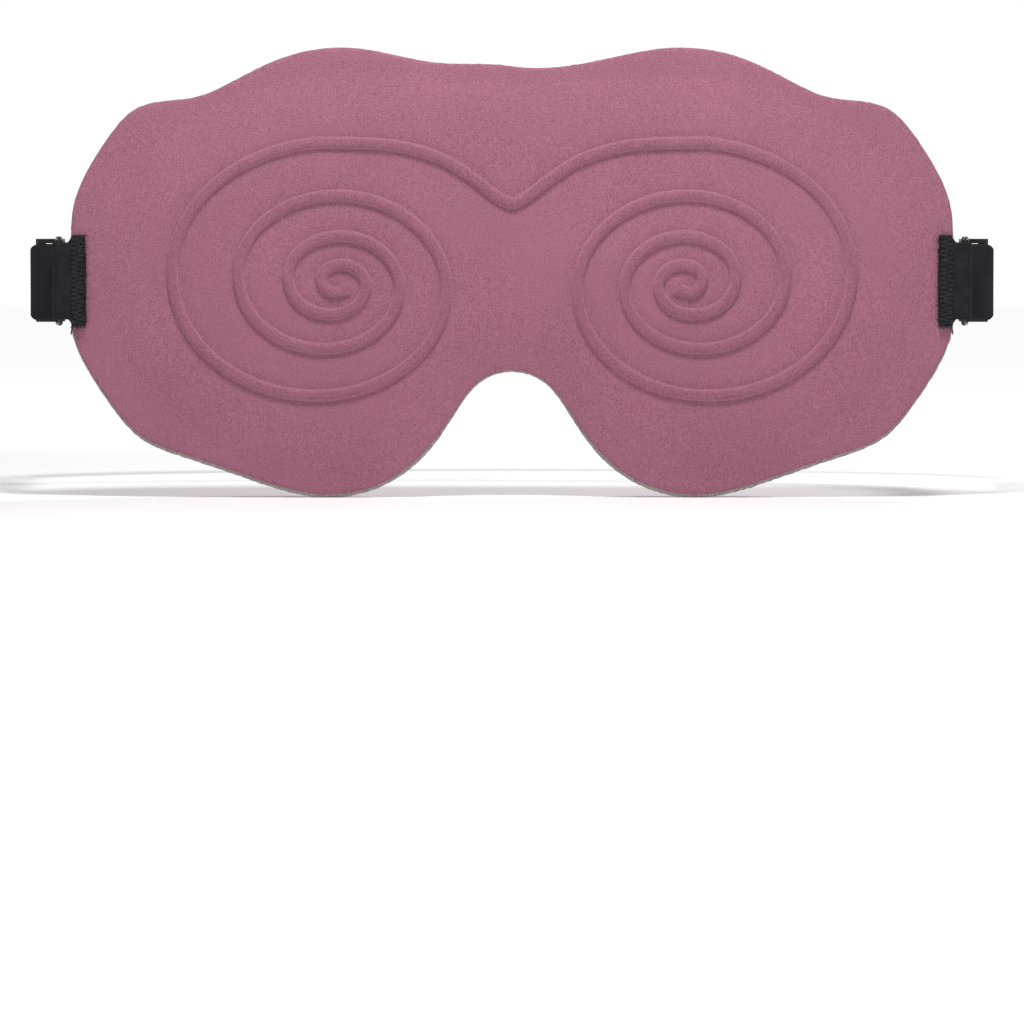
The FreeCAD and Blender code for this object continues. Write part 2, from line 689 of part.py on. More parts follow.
NODES = [
    outer_fabric, front_foam, blackout_layer, back_fabric, pad_foam, pad_cover, strap_band,
    *LEFT_PIECES, *right_pieces,
]
doc.recompute()
for piece in NODES:
    piece.Label = piece.Name
failed = [item.Name for item in doc.Objects if {"Invalid", "Error"} & set(item.State)]
if failed:
    raise SystemExit(f"not computed: {failed}")
for piece in NODES:
    if piece.Shape.isNull() or not piece.Shape.isValid():
        raise SystemExit(f"{piece.Label} has no valid shape")
os.makedirs("parts", exist_ok=True)
for piece in NODES:
    piece.Shape.exportStep(f"parts/{piece.Label}.step")
    box = piece.Shape.BoundBox
    print(
        f"{piece.Label:18s} solids {len(piece.Shape.Solids):3d}  volume {piece.Shape.Volume:10.1f}  "
        f"x {box.XMin:7.1f} {box.XMax:7.1f}  y {box.YMin:6.1f} {box.YMax:6.1f}  z {box.ZMin:6.1f} {box.ZMax:6.1f}"
    )
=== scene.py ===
import math
import random

import bmesh
import bpy
import numpy as np
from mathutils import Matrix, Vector
from mathutils.geometry import delaunay_2d_cdt
from mathutils.kdtree import KDTree


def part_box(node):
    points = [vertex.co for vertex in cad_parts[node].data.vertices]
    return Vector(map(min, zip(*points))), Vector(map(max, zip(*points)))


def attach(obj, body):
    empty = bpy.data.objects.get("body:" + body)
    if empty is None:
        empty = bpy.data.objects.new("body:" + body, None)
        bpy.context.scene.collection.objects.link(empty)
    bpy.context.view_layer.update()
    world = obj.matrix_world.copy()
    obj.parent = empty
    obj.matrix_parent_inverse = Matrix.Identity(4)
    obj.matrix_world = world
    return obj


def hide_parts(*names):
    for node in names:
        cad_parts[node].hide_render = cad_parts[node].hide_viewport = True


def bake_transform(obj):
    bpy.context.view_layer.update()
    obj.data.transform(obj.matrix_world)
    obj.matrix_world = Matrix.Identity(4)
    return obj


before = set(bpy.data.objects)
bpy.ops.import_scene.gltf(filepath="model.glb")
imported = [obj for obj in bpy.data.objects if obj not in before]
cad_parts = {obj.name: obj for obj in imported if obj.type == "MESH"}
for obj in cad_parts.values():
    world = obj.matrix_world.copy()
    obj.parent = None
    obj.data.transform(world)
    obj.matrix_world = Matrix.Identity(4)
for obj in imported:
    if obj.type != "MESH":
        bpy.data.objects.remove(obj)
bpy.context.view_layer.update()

# Contoured sleep eye mask. Shapes are worked out in millimetres in the row frame (+X across the
# mask, +Y towards the wearer's head, +Z up) and scaled to metres when a mesh is made.
MM = 0.001
NEAR = 0.002
FULL_TURN = 2 * math.pi

# Layers of the flat panel along Y, and the pad on them. The pad's wall is upright at its foot, and
# its cover is tucked in there.
OUTER_THICK = 0.8
FOAM_THICK = 2.4
BLACKOUT_THICK = 0.4
BLACKOUT_INSET = 4.0
COVER_THICK = 0.8
PAD_RISE = 18.0
PAD_WALL = 5.0
TUCK = 1.6

# How wide, and to what power, the pad rounds over at its rim and at the cavities' rims, and how
# far in from each rim its lines of points are.
RIM_ROUNDING = (15.0, 2.4)
CAVITY_ROUNDING = (14.0, 2.15)
RIM_LINES = (0.08, 0.2, 0.4, 0.7, 1.1, 1.7, 2.5, 3.4)
CAVITY_LINES = (0.05, 0.12, 0.25, 0.45, 0.75, 1.15, 1.7, 2.5, 3.4)
PAD_UNEVEN = 0.006

# How far the outer face's border is pressed back, and how wide it is: all round, and what the top
# has more. The very edge is pressed too. The foam yields by a share of that. Ripple is how uneven
# cloth lies on it.
BORDER_PRESS = 0.8
BORDER_WIDTH = 11
TOP_PRESS = 1.1
TOP_WIDTH = 10
EDGE_PRESS = 0.3
FOAM_YIELD = 0.9
RIPPLE = 0.12

# The foam's cut edge, as (share of its thickness, share of its overhang).
FOAM_BULGE = ((0.06, 0.4), (0.25, 0.9), (0.5, 1.0), (0.75, 0.9), (0.94, 0.4))

# The outer spiral: x = r * (stretch * cos - lean), z = r * sin about its eye, and r shrinks with
# each turn. The bridge is the line's way from the eye's outermost turn to the mask's middle.
SPIRAL_EYE = (-45.9, -0.5)
SPIRAL_STRETCH = 1.2
SPIRAL_LEAN = 0.125
SPIRAL_RADIUS = (37.3, -15.75, 1.65)
SPIRAL_TURNS = 3.56
SPIRAL_BRIDGE = [(45.9, 21.2), (41.6, 23.2), (35.7, 27.7), (26.9, 33.1), (14, 36.6)]

# The welt along the spiral, the least gap between two points on it, and the lines of points
# beside its middle that carry its shape.
WELT_HALF = 1.6
WELT_RISE = 1.0
WELT_GROOVE = 0.12
NEAREST_ON_WELT = 0.14
WELT_LINES = (0, 0.6, -0.6, 1, -1, 1.25, -1.25, 1.45, -1.45, 1.6, -1.6, 1.8, -1.8, 2.3, -2.3)

# The terraced swirl on the floor of each eye cavity. Its start and pitch are shares of the cavity.
SWIRL_EYE = (-46.3, 0.5)
SWIRL_RISE = 1.5
SWIRL_START = 0.12
SWIRL_PITCH = 0.19
SWIRL_TURNS = 4.3
SWIRL_STEP = 0.2

# The strap: its section, how it leaves the ring, what its shape does there, its ribs, and the loop
# behind the head.
STRAP_HALF = 10.0
STRAP_THICK = 1.2
STRAP_X = 128.8
STRAP_LEAN = math.radians(50)
STRAP_ELBOW = 2.5
STRAP_CORNER = 1.6
STRAP_SAG = 0.4
STRAP_SPREAD = 0.25
RIBS = 20
RIB_PITCH = 0.965
LOOP_STRAIGHT = 62.0
LOOP_DEPTH = 60.0

# The strap's folds round the ring's far bar and round the slider's bar, and its second layer.
FAR_BAR = (-121.6, -13.733)
WRAP = 1.35
INNER_X = STRAP_X - 2 * WRAP
TAIL_START = 3.5
LAP_START = 24.0
LAP_X = 124.85
SLIDER_BAR = (-125.45, 36.0)
LAP_WRAP = 1.9

# The anchor tab: its line in (x, y, radius), from the cut end of the front leg round the ring to
# that of the back leg, and how far it goes down and up, at the ring and where it is sewn.
TAB_END = -113.6
TAB_FRONT = -21.7
TAB_BACK = -17.38
TAB_THICK = 1.2
TAB_RIBS = 26
TAB_FRAY = 0.32
TAB_LINE = [
    (TAB_END, TAB_FRONT, 0),
    (-117.6, TAB_FRONT, 0.8),
    (-118.4, -22.5, 0.9),
    (-121.4, -22.5, 1.3),
    (-121.9, -20.9, 1.2),
    (-121.75, -18.4, 1.2),
    (-118.4, TAB_BACK, 1.4),
    (TAB_END, TAB_BACK, 0),
]
TAB_REACH = (-10.2, 10.3)
SEWN_REACH = (-11.9, 12.2)
SEWN_EDGE = 116.8


# ---- outlines and distances

def plane_loops(node, y):
    """Closed loops of (x, z) round a CAD node's faces that lie in the plane y, largest first."""
    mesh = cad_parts[node].data
    places = np.array([v.co for v in mesh.vertices]) / MM
    spots, spot_of = np.unique(places.round(3), axis=0, return_inverse=True)
    spot_of = spot_of.ravel()
    flat = abs(spots[:, 1] - y) < NEAR
    sides = set()
    for polygon in mesh.polygons:
        corners = [int(spot_of[v]) for v in polygon.vertices]
        if all(flat[c] for c in corners):
            sides.update(zip(corners, corners[1:] + corners[:1]))
    following = {a: b for a, b in sides if (b, a) not in sides}
    loops = []
    while following:
        start, here = following.popitem()
        loop = [start]
        while here != start:
            loop.append(here)
            here = following.pop(here)
        loops.append(spots[loop][:, [0, 2]])
    return sorted((counter_clockwise(loop) for loop in loops), key=area, reverse=True)


def signed_area(loop):
    """The area inside a loop, above 0 where it runs counter-clockwise."""
    x, z = loop.T
    return np.sum(x * np.roll(z, -1) - np.roll(x, -1) * z) / 2


def area(loop):
    return abs(signed_area(loop))


def counter_clockwise(loop):
    return loop if signed_area(loop) > 0 else loop[::-1]


def evenly(line, step, closed=True):
    """Points along a line, about step apart."""
    ends = np.vstack([line, line[:1]]) if closed else np.asarray(line, float)
    along = np.concatenate([[0], np.cumsum(np.hypot(*np.diff(ends, axis=0).T))])
    count = int(round(along[-1] / step))
    places = np.linspace(0, along[-1], count if closed else count + 1, endpoint=not closed)
    return np.column_stack([np.interp(places, along, ends[:, k]) for k in (0, 1)])


def smoothed(loop, passes):
    """The closed loop with the corners between its facets worn off."""
    for _ in range(passes):
        loop = (np.roll(loop, 1, axis=0) + 2 * loop + np.roll(loop, -1, axis=0)) / 4
    return loop


def left_of(run):
    """Unit vectors to the left of vectors."""
    run = run / np.hypot(*run.T)[:, None]
    return np.column_stack([-run[:, 1], run[:, 0]])


def inset(loop, by):
    """The counter-clockwise loop moved inwards, point by point."""
    run = np.roll(loop, -1, axis=0) - np.roll(loop, 1, axis=0)
    return loop + left_of(run) * np.reshape(by, (-1, 1))


def beside(line, aside):
    """The open line's points moved aside, to its left."""
    return line + left_of(np.gradient(line, axis=0)) * aside


def distance(points, line, closed=True):
    """How far each point is from the line."""
    tree = KDTree(len(line))
    for number, (x, z) in enumerate(line):
        tree.insert((x, z, 0), number)
    tree.balance()
    near = np.array([tree.find((x, z, 0))[1] for x, z in points])
    best = np.full(len(points), np.inf)
    for step in (-1, 0):
        first = near + step
        first = first % len(line) if closed else np.clip(first, 0, len(line) - 2)
        a, b = line[first], line[(first + 1) % len(line)]
        run = b - a
        share = np.clip(((points - a) * run).sum(1) / (run ** 2).sum(1), 0, 1)
        best = np.minimum(best, np.hypot(*(points - a - run * share[:, None]).T))
    return best


def depth_in(points, loop):
    """How deep each point lies inside the closed loop, below 0 outside it."""
    return distance(points, loop) * np.where(inside(points, loop), 1, -1)


def inside(points, loop):
    """Which of the points lie inside the closed loop."""
    after = np.roll(loop, -1, axis=0)
    rise = after[:, 1] - loop[:, 1]
    rise[rise == 0] = NEAR
    found = []
    for part in np.array_split(points, max(1, len(points) // 2000)):
        x, z = part[:, :1], part[:, 1:]
        crosses = (loop[:, 1] > z) != (after[:, 1] > z)
        at = loop[:, 0] + (z - loop[:, 1]) * (after[:, 0] - loop[:, 0]) / rise
        found.append((crosses & (x < at)).sum(1) % 2 == 1)
    return np.concatenate(found)


def grid(loop, step):
    """Evenly staggered points inside the loop."""
    (x0, z0), (x1, z1) = loop.min(0), loop.max(0)
    rows = np.arange(z0, z1, step * math.sqrt(0.75))
    columns = np.arange(x0, x1, step)
    points = np.array([(x + n % 2 * step / 2, z) for n, z in enumerate(rows) for x in columns])
    return points[inside(points, loop)]


def clear_of(points, line, gap, closed=True):
    """The points that are further than gap from the line."""
    return points[distance(points, line, closed) > gap]


def thinned(points, gap):
    """The points, less each that is nearer than gap to one kept before it."""
    kept, cells = [], {}
    for x, z in points:
        i, j = int(x // gap), int(z // gap)
        close = [cells.get((i + a, j + b), ()) for a in (-1, 0, 1) for b in (-1, 0, 1)]
        if all(math.hypot(x - u, z - v) >= gap for cell in close for u, v in cell):
            cells.setdefault((i, j), []).append((x, z))
            kept.append((x, z))
    return np.array(kept)


def filled(loops, points):
    """Triangles over the first loop, less the others, through the points too. Returns the flat
    points, the triangles, and the numbers of each loop's points."""
    flat = np.vstack([*loops, points]) if len(points) else np.vstack(loops)
    edges, rings, first = [], [], 0
    for loop in loops:
        numbers = list(range(first, first + len(loop)))
        edges += zip(numbers, numbers[1:] + numbers[:1])
        rings.append(numbers)
        first += len(loop)
    made = delaunay_2d_cdt([Vector(p) for p in flat], edges, [], 1, 1e-4)
    number_of = {old: new for new, olds in enumerate(made[3]) for old in olds}
    places = np.array([tuple(v) for v in made[0]])
    triangles = np.array([face for face in made[2] if len(face) == 3])
    middles = places[triangles].mean(1)
    for hole in loops[1:]:
        keep = ~inside(middles, hole)
        triangles, middles = triangles[keep], middles[keep]
    return places, triangles, [[number_of[n] for n in ring] for ring in rings]


def smoothstep(value, low, high):
    """Rises smoothly from 0 at low to 1 at high."""
    share = np.clip((value - low) / (high - low), 0, 1)
    return share * share * (3 - 2 * share)


# ---- meshes

class Skin:
    """Points, in mm, and faces of one piece while it is made."""

    def __init__(self):
        self.points = []
        self.faces = []

    def add(self, points):
        """Adds points and returns their numbers."""
        first = len(self.points)
        self.points.extend(tuple(float(c) for c in p) for p in points)
        return list(range(first, len(self.points)))

    def band(self, one, two, closed=True):
        """Four-sided faces between two rings, or lines, of as many points."""
        last = len(one) if closed else len(one) - 1
        for n in range(last):
            m = (n + 1) % len(one)
            self.faces.append((one[n], one[m], two[m], two[n]))

    def bands(self, rings, closed=True):
        """Faces from each ring, or line, to the next."""
        for one, two in zip(rings, rings[1:]):
            self.band(one, two, closed)

    def ring(self, loop, y):
        """Adds a loop of (x, z) at y, one or one for each point, and returns its numbers."""
        heights = np.broadcast_to(y, len(loop))
        return self.add((x, height, z) for (x, z), height in zip(loop, heights))

    def lid(self, flat, triangles, y):
        """Adds a triangulated surface with its own y at each point, and returns its numbers."""
        numbers = self.ring(flat, y)
        first = numbers[0]
        self.faces.extend(tuple(first + int(c) for c in t) for t in triangles)
        return numbers

    def cover(self, loop, points, face):
        """Adds a surface inside a loop, through the points. Face is its y, or works it out from
        (x, z). Returns the numbers of its edge."""
        flat, triangles, (edge,) = filled([loop], points)
        numbers = self.lid(flat, triangles, face(flat) if callable(face) else face)
        return [numbers[n] for n in edge]

    def piece(self, name, material, sharp=50):
        """The finished object. Edges that turn by more than sharp degrees are shaded sharp."""
        mesh = bpy.data.meshes.new(name)
        mesh.from_pydata([tuple(c * MM for c in p) for p in self.points], [], self.faces)
        work = bmesh.new()
        work.from_mesh(mesh)
        loose = [v for v in work.verts if not v.link_faces]
        bmesh.ops.delete(work, geom=loose, context="VERTS")
        bmesh.ops.recalc_face_normals(work, faces=work.faces)
        work.to_mesh(mesh)
        work.free()
        mesh.polygons.foreach_set("use_smooth", [True] * len(mesh.polygons))
        mesh.set_sharp_from_angle(angle=math.radians(sharp))
        mesh.materials.append(material)
        made = bpy.data.objects.new(name, mesh)
        bpy.context.scene.collection.objects.link(made)
        return made


# ---- the panel's outlines

outer_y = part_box("front_foam")[0].y / MM - OUTER_THICK
foam_front = outer_y + OUTER_THICK
foam_back = foam_front + FOAM_THICK
flange_y = -PAD_RISE

panel = smoothed(evenly(plane_loops("front_foam", foam_front)[0], 0.5), 6)
pad_loops = plane_loops("pad_cover", flange_y)
pad = smoothed(evenly(pad_loops[0], 0.5), 6)
eyes = [smoothed(evenly(loop, 0.5), 4) for loop in pad_loops[-2:]]
left_eye = min(eyes, key=lambda loop: loop[:, 0].mean())
right_eye = max(eyes, key=lambda loop: loop[:, 0].mean())


def mirrored(points):
    """The points, as they lie on the mask's other half."""
    return np.asarray(points) * (-1, 1)


def spiral_half():
    """The left spiral's line, from its eye outwards and over the bridge to the middle."""
    turns = np.linspace(SPIRAL_TURNS, 0, 400)
    angle = math.pi / 2 + FULL_TURN * turns
    reach = SPIRAL_RADIUS[0] + SPIRAL_RADIUS[1] * turns + SPIRAL_RADIUS[2] * turns ** 2
    x = reach * (SPIRAL_STRETCH * np.cos(angle) - SPIRAL_LEAN)
    coil = np.column_stack([x, reach * np.sin(angle)])
    bridge = np.array(SPIRAL_BRIDGE[::-1], float)
    return np.vstack([coil, bridge]) + SPIRAL_EYE


def curved(points, step):
    """A smooth line through the points (Catmull-Rom), in points step apart."""
    ends = np.vstack([2 * points[0] - points[1], points, 2 * points[-1] - points[-2]])
    share = np.linspace(0, 1, 12, endpoint=False)[:, None]
    runs = []
    for a, b, c, d in zip(ends, ends[1:], ends[2:], ends[3:]):
        runs.append(
            b + share * (c - a) / 2
            + share ** 2 * (a - 2.5 * b + 2 * c - d / 2)
            + share ** 3 * (1.5 * (b - c) + (d - a) / 2)
        )
    return evenly(np.vstack([*runs, points[-1:]]), step, closed=False)


left_line = spiral_half()
welt = curved(np.vstack([left_line, mirrored(left_line[-2::-1])]), 0.8)


# ---- the flat panel's layers

def border_dip(points):
    """How far the panel's border, outside the pad, is pushed back from the rest of its face."""
    high = smoothstep(points[:, 1], 10, 40)
    risen = np.clip((depth_in(points, pad) + 1) / (BORDER_WIDTH + TOP_WIDTH * high), 0, 1)
    return (BORDER_PRESS + TOP_PRESS * high) * (1 - risen) ** 2.2


def foam_face(points):
    """Height along Y of the front foam's face, under the outer fabric."""
    return foam_front + border_dip(points) * FOAM_YIELD


def ripple(points, seed):
    """Slow unevenness of cloth on foam, between -1 and 1."""
    draw = random.Random(seed)
    x, z = points.T
    total = np.zeros(len(points))
    longest = 70
    for wave in (longest, 45, 28):
        turn = draw.uniform(0, math.pi)
        start = draw.uniform(0, FULL_TURN)
        along = x * math.cos(turn) + z * math.sin(turn)
        total += wave / longest * np.sin(along * FULL_TURN / wave + start)
    return total / 2


def outer_face(points):
    """Height along Y of the outer fabric's face, with the raised spiral and the pushed-back border.
    """
    off_welt = distance(points, welt, closed=False)
    share = np.clip(off_welt / WELT_HALF, 0, 1)
    line = WELT_RISE * (1 - share ** 4.5)
    groove = WELT_GROOVE * np.exp(-((off_welt - WELT_HALF - 0.3) / 0.5) ** 2)
    edge = EDGE_PRESS * np.exp(-distance(points, panel) / 1.1)
    return outer_y + border_dip(points) + edge + RIPPLE * ripple(points, 3) - line + groove


def make_outer_fabric(material):
    """The outer fabric: its face with the welts, its rounded edge, and its back on the foam."""
    rings = [inset(panel, d) for d in (0.35, 0.9, 1.8, 3.0)]
    beside_welt = [beside(welt, aside) for aside in WELT_LINES]
    ground = clear_of(grid(inset(panel, 3.6), 1.5), welt, 2.9, closed=False)
    ground = clear_of(ground, panel, 3.5)
    points = thinned(np.vstack([*beside_welt, *rings[1:], ground]), NEAREST_ON_WELT)
    rim_y = outer_y + border_dip(panel) + EDGE_PRESS
    back_grid = clear_of(grid(inset(panel, 2), 5), panel, 2)
    skin = Skin()
    skin.bands([
        skin.cover(rings[0], points, outer_face),
        skin.ring(inset(panel, 0.08), rim_y + 0.12),
        skin.ring(panel, rim_y + 0.3),
        skin.ring(panel, foam_face(panel)),
        skin.cover(inset(panel, 0.4), back_grid, foam_face),
    ])
    made = skin.piece("outer_fabric_sheet", material)
    places = np.array([v.co for v in made.data.vertices])[:, [0, 2]] / MM
    off_welt = distance(places, welt, closed=False)
    # How near each point is to a welt's middle; the cloth shader paints shade there.
    welt_painted_shade = 1 - smoothstep(off_welt, WELT_HALF - 1.0, WELT_HALF - 0.2)
    made.data.attributes.new("welt_painted_shade", "FLOAT", "POINT").data.foreach_set("value", welt_painted_shade)
    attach(made, "mask")
    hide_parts("outer_fabric")
    return made


# ---- materials

# The knit's upright wales and its courses across them.
WALE_PITCH = 0.8
COURSE_PITCH = 0.65


def linear(*srgb):
    """A colour given as 0 to 255 sRGB, as the shader takes it."""
    shares = [c / 255 for c in srgb]
    return tuple(((c + 0.055) / 1.055) ** 2.4 if c > 0.04 else c / 12.92 for c in shares) + (1.0,)


class Paint:
    """A material and its nodes. Each method that adds a node returns the socket it gives out."""

    def __init__(self, name):
        self.material = bpy.data.materials.new(name)
        self.material.use_nodes = True
        self.tree = self.material.node_tree
        self.shader = self.tree.nodes["Principled BSDF"]
        self.place = self.add("TexCoord").outputs["Object"]

    def add(self, kind, settings=None, **inputs):
        """Adds a node and returns it."""
        node = self.tree.nodes.new("ShaderNode" + kind)
        for key, value in (settings or {}).items():
            setattr(node, key, value)
        for key, value in inputs.items():
            self.plug(node.inputs[key.replace("_", " ")], value)
        return node

    def plug(self, socket, value):
        """Links a socket to the value, or sets it."""
        if isinstance(value, bpy.types.NodeSocket):
            self.tree.links.new(value, socket)
        else:
            socket.default_value = value

    def set(self, **inputs):
        """Plugs values into the shader's own sockets."""
        for key, value in inputs.items():
            self.plug(self.shader.inputs[key.replace("_", " ")], value)

    def maths(self, operation, *values):
        node = self.tree.nodes.new("ShaderNodeMath")
        node.operation = operation
        for socket, value in zip(node.inputs, values):
            self.plug(socket, value)
        return node.outputs[0]

    def noise(self, size, detail=2.0, roughness=0.5):
        """Noise whose features are about size mm."""
        node = self.add("TexNoise", Vector=self.place, Scale=1 / (size * MM))
        self.plug(node.inputs["Detail"], detail)
        self.plug(node.inputs["Roughness"], roughness)
        return node.outputs["Fac"]

    def attribute(self, name):
        """A value that the mesh carries at each point."""
        return self.add("Attribute", {"attribute_name": name}).outputs["Fac"]

    def axes(self):
        """The place's X, Y and Z, in metres."""
        return self.add("SeparateXYZ", Vector=self.place).outputs

    def ramp(self, value, low, high):
        """The value from low to high, as 0 to 1."""
        node = self.add("MapRange", Value=value, From_Min=low, From_Max=high)
        return node.outputs["Result"]

    def blend(self, share, one, two):
        """The first of two sRGB colours where the share is 0, and the second where it is 1."""
        node = self.tree.nodes.new("ShaderNodeMix")
        node.data_type = "RGBA"
        factor, first, second = node.inputs[0], node.inputs[6], node.inputs[7]
        for socket, value in ((factor, share), (first, linear(*one)), (second, linear(*two))):
            self.plug(socket, value)
        return node.outputs[2]

    def times(self, one, two):
        return self.maths("MULTIPLY", one, two)

    def mixed(self, *parts):
        """The sum of several (value, weight)."""
        total = 0.0
        for value, weight in parts:
            total = self.maths("MULTIPLY_ADD", value, weight, total)
        return total

    def bump(self, height, depth, strength=1.0):
        """Bump from a height of 0 to 1 that stands for depth mm."""
        node = self.add("Bump", Height=height, Distance=depth * MM, Strength=strength)
        return node.outputs["Normal"]

    def stripes(self, value, pitch):
        """Runs 0 to 1 to 0 over each pitch, in mm, of a value in metres."""
        angle = self.times(value, FULL_TURN / (pitch * MM))
        return self.maths("MULTIPLY_ADD", self.maths("SINE", angle), 0.5, 0.5)


def knit_cloth(name, pale, deep, grain, contrast, wales):
    """Fine heathered knit with a soft nap: grains of two shades of yarn, in faint upright wales.
    Where the mesh marks a welt's middle, the colour is a little deeper: painted shade standing in
    for the shade on the welts' flanks."""
    paint = Paint(name)
    axes = paint.axes()
    wander = paint.mixed((axes["Y"], -1), (paint.noise(2.5), 0.8 * MM))
    aside = paint.maths("ADD", paint.maths("ABSOLUTE", axes["X"]), wander)
    up = paint.maths("ADD", paint.maths("ABSOLUTE", axes["Z"]), wander)
    columns, rows = paint.stripes(aside, WALE_PITCH), paint.stripes(up, COURSE_PITCH)
    stitch = paint.times(columns, rows)
    heather = paint.ramp(paint.noise(grain, 2.0, 0.6), 0.34, 0.66)
    speck = paint.ramp(paint.noise(grain * 0.45, 1.0), 0.3, 0.7)
    clouds = paint.ramp(paint.noise(30.0, 1.0), 0.3, 0.7)
    yarn = paint.mixed((heather, 0.55), (speck, 0.3), (stitch, wales), (clouds, 0.08))
    yarn = paint.maths("SUBTRACT", yarn, 0.47 + wales / 4)
    share = paint.maths("MULTIPLY_ADD", yarn, contrast, 0.5)
    # Painted shade: a little deeper along the welts' middles.
    share = paint.maths("MULTIPLY_ADD", paint.attribute("welt_painted_shade"), -0.15, share)
    colour = paint.blend(paint.ramp(share, 0.0, 1.0), deep, pale)
    nap = paint.mixed((heather, 0.6), (stitch, 0.4))
    roughness = paint.maths("MULTIPLY_ADD", heather, 0.1, 0.84)
    paint.set(Base_Color=colour, Roughness=roughness, Normal=paint.bump(nap, 0.16, 0.6))
    paint.set(Specular_IOR_Level=0.2, Sheen_Weight=0.38, Sheen_Roughness=0.5)
    paint.set(Sheen_Tint=linear(236, 208, 218))
    return paint.material


def cut_foam(name):
    """Light grey open foam, cut with a blade."""
    paint = Paint(name)
    cells = paint.add("TexVoronoi", Vector=paint.place, Scale=1 / (0.45 * MM)).outputs["Distance"]
    shade = paint.blend(paint.ramp(cells, 0.1, 0.75), (104, 101, 97), (170, 167, 160))
    paint.set(Base_Color=shade, Roughness=0.95, Normal=paint.bump(cells, 0.2, 0.8))
    paint.set(Specular_IOR_Level=0.15)
    return paint.material


def blackout_weave(name):
    """Matt black light-blocking cloth."""
    paint = Paint(name)
    axes = paint.axes()
    weave = paint.times(paint.stripes(axes["X"], 0.5), paint.stripes(axes["Z"], 0.5))
    shade = paint.blend(weave, (18, 18, 20), (34, 34, 37))
    paint.set(Base_Color=shade, Roughness=0.9, Normal=paint.bump(weave, 0.1))
    return paint.material


def ribbed_elastic(name):
    """Black knitted elastic. Each lengthwise rib is a chain of small stitches, pulled smooth where
    the strap goes round the ring."""
    paint = Paint(name)
    axes = paint.axes()
    height = axes["Z"]
    chain = paint.stripes(paint.mixed((paint.attribute("run"), 1), (height, 0.35)), 0.85)
    ribs = paint.stripes(paint.maths("SUBTRACT", height, RIB_PITCH / 4 * MM), RIB_PITCH)
    fluff = paint.ramp(paint.noise(0.25, 3.0), 0.3, 0.7)
    stitches = paint.times(ribs, chain)
    raised = paint.times(stitches, paint.maths("MULTIPLY_ADD", fluff, 0.5, 0.5))
    back_from_ring = paint.ramp(axes["Y"], -10 * MM, 4 * MM)
    clear = paint.maths("MULTIPLY_ADD", back_from_ring, 0.85, 0.15)
    smooth = paint.maths("MULTIPLY_ADD", clear, -0.2, 0.2)
    raised = paint.maths("MULTIPLY_ADD", raised, clear, smooth)
    wear = paint.ramp(paint.noise(6.0), 0.35, 0.7)
    # Paler on the raised stitches: partly the yarn, partly a painted highlight on the rib crests;
    # the wear noise varies it at random.
    crest_highlight_and_wear = paint.times(raised, paint.maths("MULTIPLY_ADD", wear, 0.35, 0.65))
    shade = paint.blend(crest_highlight_and_wear, (17, 16, 20), (76, 74, 82))
    paint.set(Base_Color=shade, Roughness=0.8, Normal=paint.bump(raised, 0.22, 0.8))
    paint.set(Specular_IOR_Level=0.15)
    return paint.material


def black_webbing(name):
    """Close black tape with a slanting weave, brushed by wear."""
    paint = Paint(name)
    slant = paint.mixed((paint.axes()["Z"], 1), (paint.attribute("run"), 0.9))
    weave = paint.stripes(slant, 0.7)
    fluff = paint.ramp(paint.noise(0.3, 3.0, 0.6), 0.3, 0.7)
    dust = paint.ramp(paint.noise(2.6, 2.0), 0.45, 0.75)
    tone = paint.mixed((weave, 0.35), (fluff, 0.4), (dust, 0.25))
    shade = paint.blend(tone, (15, 15, 18), (48, 47, 55))
    paint.set(Base_Color=shade, Roughness=0.85, Normal=paint.bump(tone, 0.15, 0.8))
    paint.set(Specular_IOR_Level=0.15)
    return paint.material


def black_thread(name):
    """Twisted black sewing thread."""
    paint = Paint(name)
    twist = paint.ramp(paint.noise(0.18, 2.0), 0.35, 0.65)
    shade = paint.blend(twist, (18, 19, 21), (70, 71, 77))
    paint.set(Base_Color=shade, Roughness=0.7, Normal=paint.bump(twist, 0.06))
    paint.set(Specular_IOR_Level=0.2, Sheen_Weight=0.06, Sheen_Roughness=0.4)
    return paint.material


def black_paint(name, roughness, wear_colour):
    """Satin black on metal or moulded in plastic, rubbed paler in places."""
    paint = Paint(name)
    rubbed = paint.ramp(paint.noise(1.8, 4.0, 0.6), 0.55, 0.75)
    grain = paint.noise(0.22, 2.0)
    shade = paint.blend(paint.times(rubbed, 0.5), (12, 12, 14), wear_colour)
    gloss = paint.maths("MULTIPLY_ADD", rubbed, 0.18, roughness)
    paint.set(Base_Color=shade, Roughness=gloss, Normal=paint.bump(grain, 0.03, 0.5))
    return paint.material


outer_cloth = knit_cloth("outer_cloth", (176, 115, 135), (128, 78, 96), 0.34, 1.25, 0.12)
face_cloth = knit_cloth("face_cloth", (200, 130, 154), (140, 79, 101), 0.5, 1.1, 0.35)
foam_paint = cut_foam("grey_foam")
blackout_paint = blackout_weave("blackout_cloth")
elastic_paint = ribbed_elastic("black_elastic")
webbing_paint = black_webbing("black_webbing")
thread_paint = black_thread("black_thread")
wire_paint = black_paint("ring_paint", 0.32, (84, 84, 88))
plastic_paint = black_paint("slider_plastic", 0.42, (58, 58, 62))


# ---- the panel's other layers

def foam_overhang():
    """How far the foam's cut edge stands out beyond the fabrics: further on the lower half, and
    most under the lobes."""
    draw = random.Random(11)
    rough = smoothed(np.array([[draw.gauss(0, 1), 0] for _ in panel]), 1)[:, 0]
    z = panel[:, 1]
    lower_half = 1 - smoothstep(z, -5, 15)
    lobes = 1 - smoothstep(z, -48, -30)
    return 0.05 + 0.35 * lower_half + 0.4 * lobes + 0.06 * rough


def pocket_face(points):
    """Height along Y of the front foam's back, with the blackout layer's pocket."""
    return foam_back - np.where(distance(points, panel) > BLACKOUT_INSET, BLACKOUT_THICK, 0)


